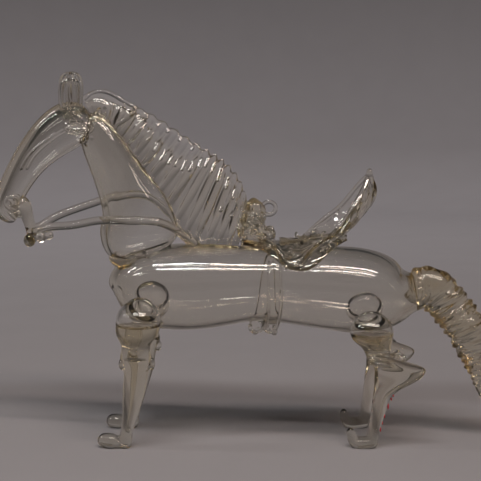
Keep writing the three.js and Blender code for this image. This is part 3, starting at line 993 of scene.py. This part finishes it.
def knee_threads(side):
    """A ridge across the knee, a drop at each end of it, and loops behind it and on the hoof."""
    made = [
        rod(mirrored(knee_line, side), 2.2, 30, 10, 0.35, facing_light(side)),
        drop((-41.3, side * 14.6, 29.2), (1.2, 1.7, 2), 10, 14),
        drop((-31.9, side * 14.4, 29.4), (1.5, 1.7, 2), 10, 14),
    ]
    made += curls((-32.8, side * 14.8, 29.4), (1, 1.4, 1.6), 3, 1, 0.9, 51)
    return made + curls((-44.6, side * 11.7, 3.4), (1.8, 1, 0.6), 3, 1.1, 1, 53)


def hock_threads(side):
    """Three creases across the hock, one under the other, and loops at its point."""
    made = []
    for height in (33.4, 31.8, 30.2):
        crease = [(39.8, 15.6, height), (42.6, 17.2, height - 0.3)]
        crease += [(46, 16.8, height - 0.9), (49, 15.2, height - 1.2)]
        made.append(rod(mirrored(crease, side), 1.8, 24, 10, 0.45, facing_light(side)))
    return made + curls((50.4, side * 13.2, 31.4), (2.2, 1, 1.8), 6, 1.4, 1.1, 55)


# %% The four legs
legs, leg_threads, leg_hollows = [], [], []
# A side, how far its front and hind legs move, and the heights at which their bubbles close.
leg_pairs = [
    (near, (0, 0), (0, 0), 41, 39),
    (far, (1.2, 2), (1.6, 2.4), 34, 33),
]
for side, front_move, hind_move, front_floor, hind_floor in leg_pairs:
    front = set_leg(front_stations, side, *front_move)
    hind = set_leg(hind_stations, side, *hind_move)
    legs.append(tube(front, 76, 28, level=True))
    legs.append(tube(hind, 86, 28, level=True))
    legs.append(tube(set_leg(front_hoof, side, 0, 0), 24, 18))
    legs.append(tube(set_leg(hind_hoof, side, 0, 0), 30, 18))
    leg_threads += knee_threads(side) + hock_threads(side)
    leg_hollows.append(bulb_hollow(front, front_floor, 1.0))
    leg_hollows.append(bulb_hollow(hind, hind_floor, 0.7))
print("leg pieces:", len(legs), "threads and drops on them:", len(leg_threads))

# %% [markdown]
# ## The tail
# The tail is a thick solid rod lifted from the croup and squeezed in the same toothed tool as the
# mane. Its crimps run across it and lean, so each ring swells and sinks with a wave along the tail.
# Loops of thread roughen it, and a few flat threads on the near side catch the light.

# %% The tail
tail_stations = [
    (54, 0, 50.8, 0, 0),
    (56.5, 0, 51.2, 5.2, 4.6),
    (61.4, 0, 52.8, 7.4, 5.6),
    (67.4, 0, 48.4, 6.8, 5.4),
    (73, 0, 41.6, 7, 5.4),
    (77.6, 0, 34.4, 6.8, 5),
    (80.2, 0, 27, 5.6, 4.2),
    (82.2, 0, 20, 4.2, 3.4),
    (83.6, 0, 14.6, 2.6, 2.2),
    (84.6, 0, 11, 0, 0),
]
tail_crimps = 26


def tail_crimp(along, turn):
    """Leaning crimps of uneven depth, over a dozen slow waves and a few lumps that wind round."""
    depth = 0.045 + 0.02 * np.sin(19 * along) + 0.015 * np.sin(47 * along)
    fine = depth * np.sin(2 * np.pi * tail_crimps * along + 2.2 * np.cos(turn) + 1.5 * np.sin(9 * along))
    slow = 0.05 * np.sin(23 * np.pi * along - 2.5 * np.sin(turn + 0.6)) * np.sin(np.pi * along)
    lumps = 0.05 * np.sin(7 * np.pi * along + 2 * turn)
    return 1 + fine + slow + lumps


tail = tube(tail_stations, 150, 34, swell=tail_crimp)
tail_threads = curls((60, -3.6, 51.4), (3.6, 1.2, 3), 7, 2.4, 1.2, 61)
tail_threads += curls((75, -2.6, 38), (3.6, 2, 8), 8, 2, 1.2, 63)
tail_marks = [(61.6, 54.9), (63.8, 54.3), (66, 53.4), (68.2, 52.2), (69.6, 45), (77.4, 40.6)]
tail_threads += [stroke(x, z, 1.7, 4.8, 52) for x, z in tail_marks]
print("crimps in the tail:", tail_crimps, "and threads on it:", len(tail_threads))

# %% [markdown]
# ## Fusing
# The pieces become one. A boolean union melts the outer skins together, and a boolean difference
# takes out the hollows. A hollow never breaks through the wall of the next blown piece, so the
# barrel's hollow is first cut back by the neck, the chest lobe, the tail and the bulbs of the legs,
# and the head's hollow is joined to the neck's. Last, the four soles are ground flat on the table.

# %% Turn a skin into a Blender mesh


def to_mesh(name, pieces):
    """One mesh object, in metres, from a list of skins."""
    corners = [piece[0] for piece in pieces]
    starts = np.r_[0, np.cumsum([len(c) for c in corners])][:-1]
    triangles = np.concatenate([piece[1] + start for piece, start in zip(pieces, starts)])
    corners = np.concatenate(corners) * millimetre
    mesh = bpy.data.meshes.new(name)
    mesh.vertices.add(len(corners))
    mesh.vertices.foreach_set("co", corners.astype(np.float32).ravel())
    mesh.loops.add(triangles.size)
    mesh.loops.foreach_set("vertex_index", triangles.astype(np.int32).ravel())
    mesh.polygons.add(len(triangles))
    mesh.polygons.foreach_set("loop_start", np.arange(0, triangles.size, 3, dtype=np.int32))
    mesh.update(calc_edges=True)
    mesh.validate()
    item = bpy.data.objects.new(name, mesh)
    bpy.context.scene.collection.objects.link(item)
    return item


def melt(target, pieces, operation):
    """Join the pieces to the target, or cut them from it, and keep the result as its mesh."""
    group = bpy.data.collections.new("group")
    bpy.context.scene.collection.children.link(group)
    for number, piece in enumerate(pieces):
        item = piece if isinstance(piece, bpy.types.Object) else to_mesh(f"piece_{number}", [piece])
        for owner in list(item.users_collection):
            owner.objects.unlink(item)
        group.objects.link(item)
    modifier = target.modifiers.new("melt", "BOOLEAN")
    modifier.solver = "MANIFOLD"
    modifier.operation = operation
    modifier.operand_type = "COLLECTION"
    modifier.collection = group
    ready = target.evaluated_get(bpy.context.evaluated_depsgraph_get())
    mesh = bpy.data.meshes.new_from_object(ready)
    target.modifiers.clear()
    target.data = mesh
    for item in list(group.objects):
        bpy.data.objects.remove(item)
    bpy.data.collections.remove(group)


# %% Melt the horse together
horse = to_mesh("glass_horse_finish", [barrel])
outer = [neck, chest_lobe, head, lip, mane, forelock, curl, tail]
threads = strokes + knot + saddle + girth + leg_threads + tail_threads
melt(horse, outer + face + ears + reins + threads + legs, "UNION")

barrel_space = to_mesh("barrel_space", [barrel_hollow])
bulb_legs = [legs[0], legs[1], legs[4], legs[5]]
melt(barrel_space, [neck, chest_lobe, tail] + bulb_legs, "DIFFERENCE")
head_space = to_mesh("head_space", [head_hollow])
melt(head_space, [neck_hollow], "UNION")
melt(horse, [barrel_space, head_space] + leg_hollows, "DIFFERENCE")

# %% Grind the soles flat


def slab(low, high):
    """A plain box between two corners, in millimetres."""
    box = bmesh.new()
    bmesh.ops.create_cube(box, size=1)
    low, high = np.array(low, float), np.array(high, float)
    mesh = bpy.data.meshes.new("slab")
    box.to_mesh(mesh)
    box.free()
    corners = np.zeros(len(mesh.vertices) * 3, np.float32)
    mesh.vertices.foreach_get("co", corners)
    placed = ((low + high) / 2 + corners.reshape(-1, 3) * (high - low)) * millimetre
    mesh.vertices.foreach_set("co", placed.astype(np.float32).ravel())
    item = bpy.data.objects.new("slab", mesh)
    bpy.context.scene.collection.objects.link(item)
    return item


melt(horse, [slab((-100, -40, -20), (100, 40, 0))], "DIFFERENCE")
horse.data.name = "glass_horse_finish"
print("triangles in the fused horse:", sum(len(p.vertices) - 2 for p in horse.data.polygons))

# %% [markdown]
# ## Smooth shading
# Hot glass is smooth everywhere but at a weld, so normals are shared across every edge that bends
# less than a set angle.

# %% Shade the horse
weld_angle = math.radians(38)
horse.data.polygons.foreach_set("use_smooth", np.ones(len(horse.data.polygons), bool))
horse.data.set_sharp_from_angle(angle=weld_angle)

# %% [markdown]
# ## Clear glass
# The glass is a plain clear shader: full transmission, an index of refraction of 1.5 and no
# roughness. It takes up a little blue light, which gives thick edges their straw colour. A slow
# noise on the bump stands for the ripples and threads that the torch leaves.

# %% The glass


def clear_glass():
    """Clear soda glass with a straw tint in its thickness and a torch-worked surface."""
    material = bpy.data.materials.new("clear_glass")
    material.use_nodes = True
    nodes, links = material.node_tree.nodes, material.node_tree.links
    nodes.clear()
    output = nodes.new("ShaderNodeOutputMaterial")
    shader = nodes.new("ShaderNodeBsdfPrincipled")
    shader.inputs["Base Color"].default_value = (0.985, 0.98, 0.965, 1)
    shader.inputs["Roughness"].default_value = 0.0
    shader.inputs["IOR"].default_value = 1.5
    shader.inputs["Transmission Weight"].default_value = 1.0
    links.new(shader.outputs["BSDF"], output.inputs["Surface"])
    tint = nodes.new("ShaderNodeVolumeAbsorption")
    tint.inputs["Color"].default_value = (0.84, 0.75, 0.5, 1)
    tint.inputs["Density"].default_value = 85
    links.new(tint.outputs["Volume"], output.inputs["Volume"])
    place = nodes.new("ShaderNodeTexCoord")
    stretch = nodes.new("ShaderNodeMapping")
    stretch.inputs["Scale"].default_value = (1, 1, 0.45)
    ripple = nodes.new("ShaderNodeTexNoise")
    ripple.inputs["Scale"].default_value = 160
    ripple.inputs["Detail"].default_value = 1.5
    bump = nodes.new("ShaderNodeBump")
    bump.inputs["Strength"].default_value = 0.12
    bump.inputs["Distance"].default_value = 0.0006
    links.new(place.outputs["Object"], stretch.inputs["Vector"])
    links.new(stretch.outputs["Vector"], ripple.inputs["Vector"])
    links.new(ripple.outputs["Fac"], bump.inputs["Height"])
    links.new(bump.outputs["Normal"], shader.inputs["Normal"])
    return material


horse.data.materials.clear()
horse.data.materials.append(clear_glass())
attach(horse, "root")
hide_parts("glass_horse")

# %% [markdown]
# ## Red paint on the hind leg
# Someone has put a row of small red marks down the back edge of the near hind leg with a brush. They
# are plain dashes here, each a thin patch of paint half sunk in the glass.

# %% The painted dashes
dash_heights = np.array([18.4, 17.1, 14.6, 11.2, 8.8, 6.6])
dash_lengths = np.array([0.5, 0.5, 1.1, 0.7, 0.6, 0.9])
dash_widths = np.array([0.9, 0.5, 0.45, 0.6, 0.4, 0.4])
cannon = set_leg(hind_stations, near, 0, 0)[::-1]
section = np.stack([np.interp(dash_heights, cannon[:, 2], cannon[:, i]) for i in (0, 1, 3, 4)], -1)
turned = math.radians(24)
dash_x = section[:, 0] + section[:, 2] * math.cos(turned)
dash_y = section[:, 1] - section[:, 3] * math.sin(turned)
dashes = []
for x, y, z, length, width in zip(dash_x, dash_y, dash_heights, dash_lengths, dash_widths):
    dashes.append(drop((x, y, z), (0.3, width, length), 10, 14))
paint = to_mesh("painted_dashes", dashes)
paint.data.polygons.foreach_set("use_smooth", np.ones(len(paint.data.polygons), bool))


# %% The paint


def ramp(material, value, stops, easing="LINEAR"):
    """Colours between stops, each a place from 0 to 1 and a colour, read at a value."""
    nodes, links = material.node_tree.nodes, material.node_tree.links
    colours = nodes.new("ShaderNodeValToRGB")
    colours.color_ramp.interpolation = easing
    colours.color_ramp.elements[0].color = (*stops[0][1], 1)
    colours.color_ramp.elements[1].color = (*stops[-1][1], 1)
    for place, colour in stops[1:-1]:
        colours.color_ramp.elements.new(place).color = (*colour, 1)
    links.new(value, colours.inputs["Fac"])
    return colours.outputs["Color"]


def red_paint():
    """Red paint with fine worn, darker places."""
    material = bpy.data.materials.new("red_paint")
    material.use_nodes = True
    nodes, links = material.node_tree.nodes, material.node_tree.links
    shader = nodes["Principled BSDF"]
    shader.inputs["Roughness"].default_value = 0.5
    wear = nodes.new("ShaderNodeTexNoise")
    wear.inputs["Scale"].default_value = 1800
    place = nodes.new("ShaderNodeTexCoord")
    links.new(place.outputs["Object"], wear.inputs["Vector"])
    shades = ramp(material, wear.outputs["Fac"], [(0, (0.28, 0.02, 0.03)), (1, (0.62, 0.05, 0.06))])
    links.new(shades, shader.inputs["Base Color"])
    return material


paint.data.materials.append(red_paint())
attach(paint, "root")
print("painted dashes:", len(dashes))

# %% [markdown]
# ## The stage
# The horse stands on a plain pale table that curves up into a wall all round, so no edge shows from
# any side. A soft shadow is painted across the table behind the horse as a darker stripe, and the
# paper is painted darker up the wall as painted shade. Pairs of long soft lamps hang above the near
# side: white ones to the left and warmer ones to the right, and their mirror images are the bright
# double lines along the barrel. One more pair hangs far to the left for the face, and a lamp behind
# lights the wall.

# %% The table and its curved wall


def dish(flat_radius, bend_radius, height, rings, sides):
    """A flat disc that turns up through a quarter circle into a wall, as a surface of revolution."""
    flat_rings, smallest = 8, 0.02
    sweep = np.linspace(0, np.pi / 2, rings)
    flat_reach = np.linspace(smallest, flat_radius, flat_rings)
    reach = np.r_[flat_reach, flat_radius + bend_radius * np.sin(sweep[1:])]
    rise = np.r_[np.zeros(flat_rings), bend_radius * (1 - np.cos(sweep[1:]))]
    reach = np.r_[reach, reach[-1]]
    rise = np.r_[rise, height]
    turn = np.linspace(0, 2 * np.pi, sides, endpoint=False)
    reach, rise = reach[:, None], rise[:, None]
    return np.stack([reach * np.cos(turn), reach * np.sin(turn), rise + 0 * turn], -1)


def stage_mesh(name, grid):
    """A mesh object from an open grid of rings, with its centre filled."""
    count, sides = grid.shape[:2]
    corners = np.concatenate([grid.reshape(-1, 3), [(0, 0, 0)]])
    index = np.arange(count * sides).reshape(count, sides)
    beside = np.roll(index, -1, axis=1)
    quads = np.stack([index[:-1], beside[:-1], beside[1:], index[1:]], -1).reshape(-1, 4)
    fan = np.stack([np.full(sides, count * sides), beside[0], index[0]], -1)
    mesh = bpy.data.meshes.new(name)
    mesh.from_pydata(corners.tolist(), [], [*quads[:, ::-1].tolist(), *fan[:, ::-1].tolist()])
    mesh.polygons.foreach_set("use_smooth", np.ones(len(mesh.polygons), bool))
    item = bpy.data.objects.new(name, mesh)
    bpy.context.scene.collection.objects.link(item)
    return item


# %% The paper


def times(material, one, two):
    """Two colours multiplied, channel by channel."""
    nodes, links = material.node_tree.nodes, material.node_tree.links
    product = nodes.new("ShaderNodeMix")
    product.data_type = "RGBA"
    product.blend_type = "MULTIPLY"
    product.inputs[0].default_value = 1
    links.new(one, product.inputs[6])
    links.new(two, product.inputs[7])
    return product.outputs[2]


def share_between(material, value, low, high):
    """0 where a value is at low, 1 where it is at high, and evenly in between."""
    nodes, links = material.node_tree.nodes, material.node_tree.links
    share = nodes.new("ShaderNodeMapRange")
    share.inputs["From Min"].default_value = low
    share.inputs["From Max"].default_value = high
    links.new(value, share.inputs["Value"])
    return share.outputs["Result"]


def plain_paper():
    """Pale grey paper, faintly mottled, with painted shade: a soft shadow behind the horse, darker up
    the wall.
    """
    material = bpy.data.materials.new("pale_paper")
    material.use_nodes = True
    nodes, links = material.node_tree.nodes, material.node_tree.links
    shader = nodes["Principled BSDF"]
    shader.inputs["Roughness"].default_value = 0.85
    shader.inputs["Specular IOR Level"].default_value = 0.2
    mottle = nodes.new("ShaderNodeTexNoise")
    mottle.inputs["Scale"].default_value = 30
    place = nodes.new("ShaderNodeTexCoord")
    split = nodes.new("ShaderNodeSeparateXYZ")
    links.new(place.outputs["Object"], mottle.inputs["Vector"])
    links.new(place.outputs["Object"], split.inputs["Vector"])
    pale = [(0, (0.211, 0.198, 0.204)), (1, (0.225, 0.212, 0.218))]
    shades = ramp(material, mottle.outputs["Fac"], pale)
    # Painted shade: the paper's colour is made darker the higher it climbs up the wall.
    up_the_wall = share_between(material, split.outputs["Z"], 0, 0.3)
    wall_shade_stops = [(0, (1, 1, 1)), (0.25, (0.74, 0.735, 0.73)), (1, (0.5, 0.495, 0.49))]
    painted_wall_shade = ramp(material, up_the_wall, wall_shade_stops)
    # Painted shadow: a soft darker stripe across the table behind the horse.
    across_painted_shadow = share_between(material, split.outputs["Y"], 0.032, 0.085)
    shadow_tone = (0.84, 0.82, 0.81)
    painted_shadow_stops = [(0, (1, 1, 1)), (0.42, shadow_tone), (0.6, shadow_tone), (1, (1, 1, 1))]
    painted_shadow = ramp(material, across_painted_shadow, painted_shadow_stops, "EASE")
    links.new(times(material, times(material, shades, painted_wall_shade), painted_shadow), shader.inputs["Base Color"])
    return material


table = stage_mesh("table", dish(0.9, 0.35, 0.6, 24, 96))
table.data.materials.append(plain_paper())
print("faces of the table and its wall:", len(table.data.polygons))

# %% The lamps and the soft surroundings
lamp_height = 0.85
lamp_breadth = 0.055
tube_gap = 0.24


def lamp(name, start, end, brightness, colour, tilt=0.0):
    """A long soft lamp that hangs level between two places and shines down, or tilted to the back.

    Its power is its brightness times its area times pi.
    """
    length = math.dist(start, end)
    data = bpy.data.lights.new(name, "AREA")
    data.shape = "RECTANGLE"
    data.size = length
    data.size_y = lamp_breadth
    data.energy = brightness * length * lamp_breadth * math.pi
    data.color = colour
    item = bpy.data.objects.new(name, data)
    item.location = ((start[0] + end[0]) / 2, (start[1] + end[1]) / 2, lamp_height)
    item.rotation_euler = (tilt, 0, math.atan2(end[1] - start[1], end[0] - start[0]))
    bpy.context.scene.collection.objects.link(item)


white, warm, wall_tint = (1, 0.99, 0.97), (1, 0.86, 0.78), (1, 0.97, 0.97)
# A name, both ends, how many tube gaps apart the pair hangs, a brightness and a colour.
lamp_pairs = [
    ("white_lamp", (-0.32, -0.25), (0.02, -0.3), 1, 38, white),
    ("warm_lamp", (0.03, -0.31), (0.56, -0.4), 1, 34, warm),
    ("side_lamp", (-1.3, -0.04), (-0.7, -0.1), 2, 32, white),
]
for number in (0, 1):
    for name, start, end, gaps, brightness, colour in lamp_pairs:
        shift = -number * gaps * tube_gap
        start, end = (start[0], start[1] + shift), (end[0], end[1] + shift)
        lamp(f"{name}_{number}", start, end, brightness, colour)
lamp("wall_lamp", (-0.8, 0.45), (0.8, 0.45), 39, wall_tint, math.radians(63))
print("lamps:", len(bpy.data.lights))

world = bpy.data.worlds.new("surroundings")
world.use_nodes = True
world.node_tree.nodes["Background"].inputs["Color"].default_value = (0.95, 0.97, 1, 1)
world.node_tree.nodes["Background"].inputs["Strength"].default_value = 0.035
bpy.context.scene.world = world

# %% [markdown]
# ## Letting light through many walls
# A ray that crosses the whole horse meets a dozen skins of glass or more, so it is allowed more
# turns than usual before it is dropped. Colours are shown plainly.

# %% Ray depth and colours
scene = bpy.context.scene
most_turns = 28
scene.cycles.max_bounces = most_turns
scene.cycles.transmission_bounces = most_turns
scene.cycles.glossy_bounces = 12
scene.view_settings.view_transform = "Standard"
print("turns allowed to a ray:", most_turns)
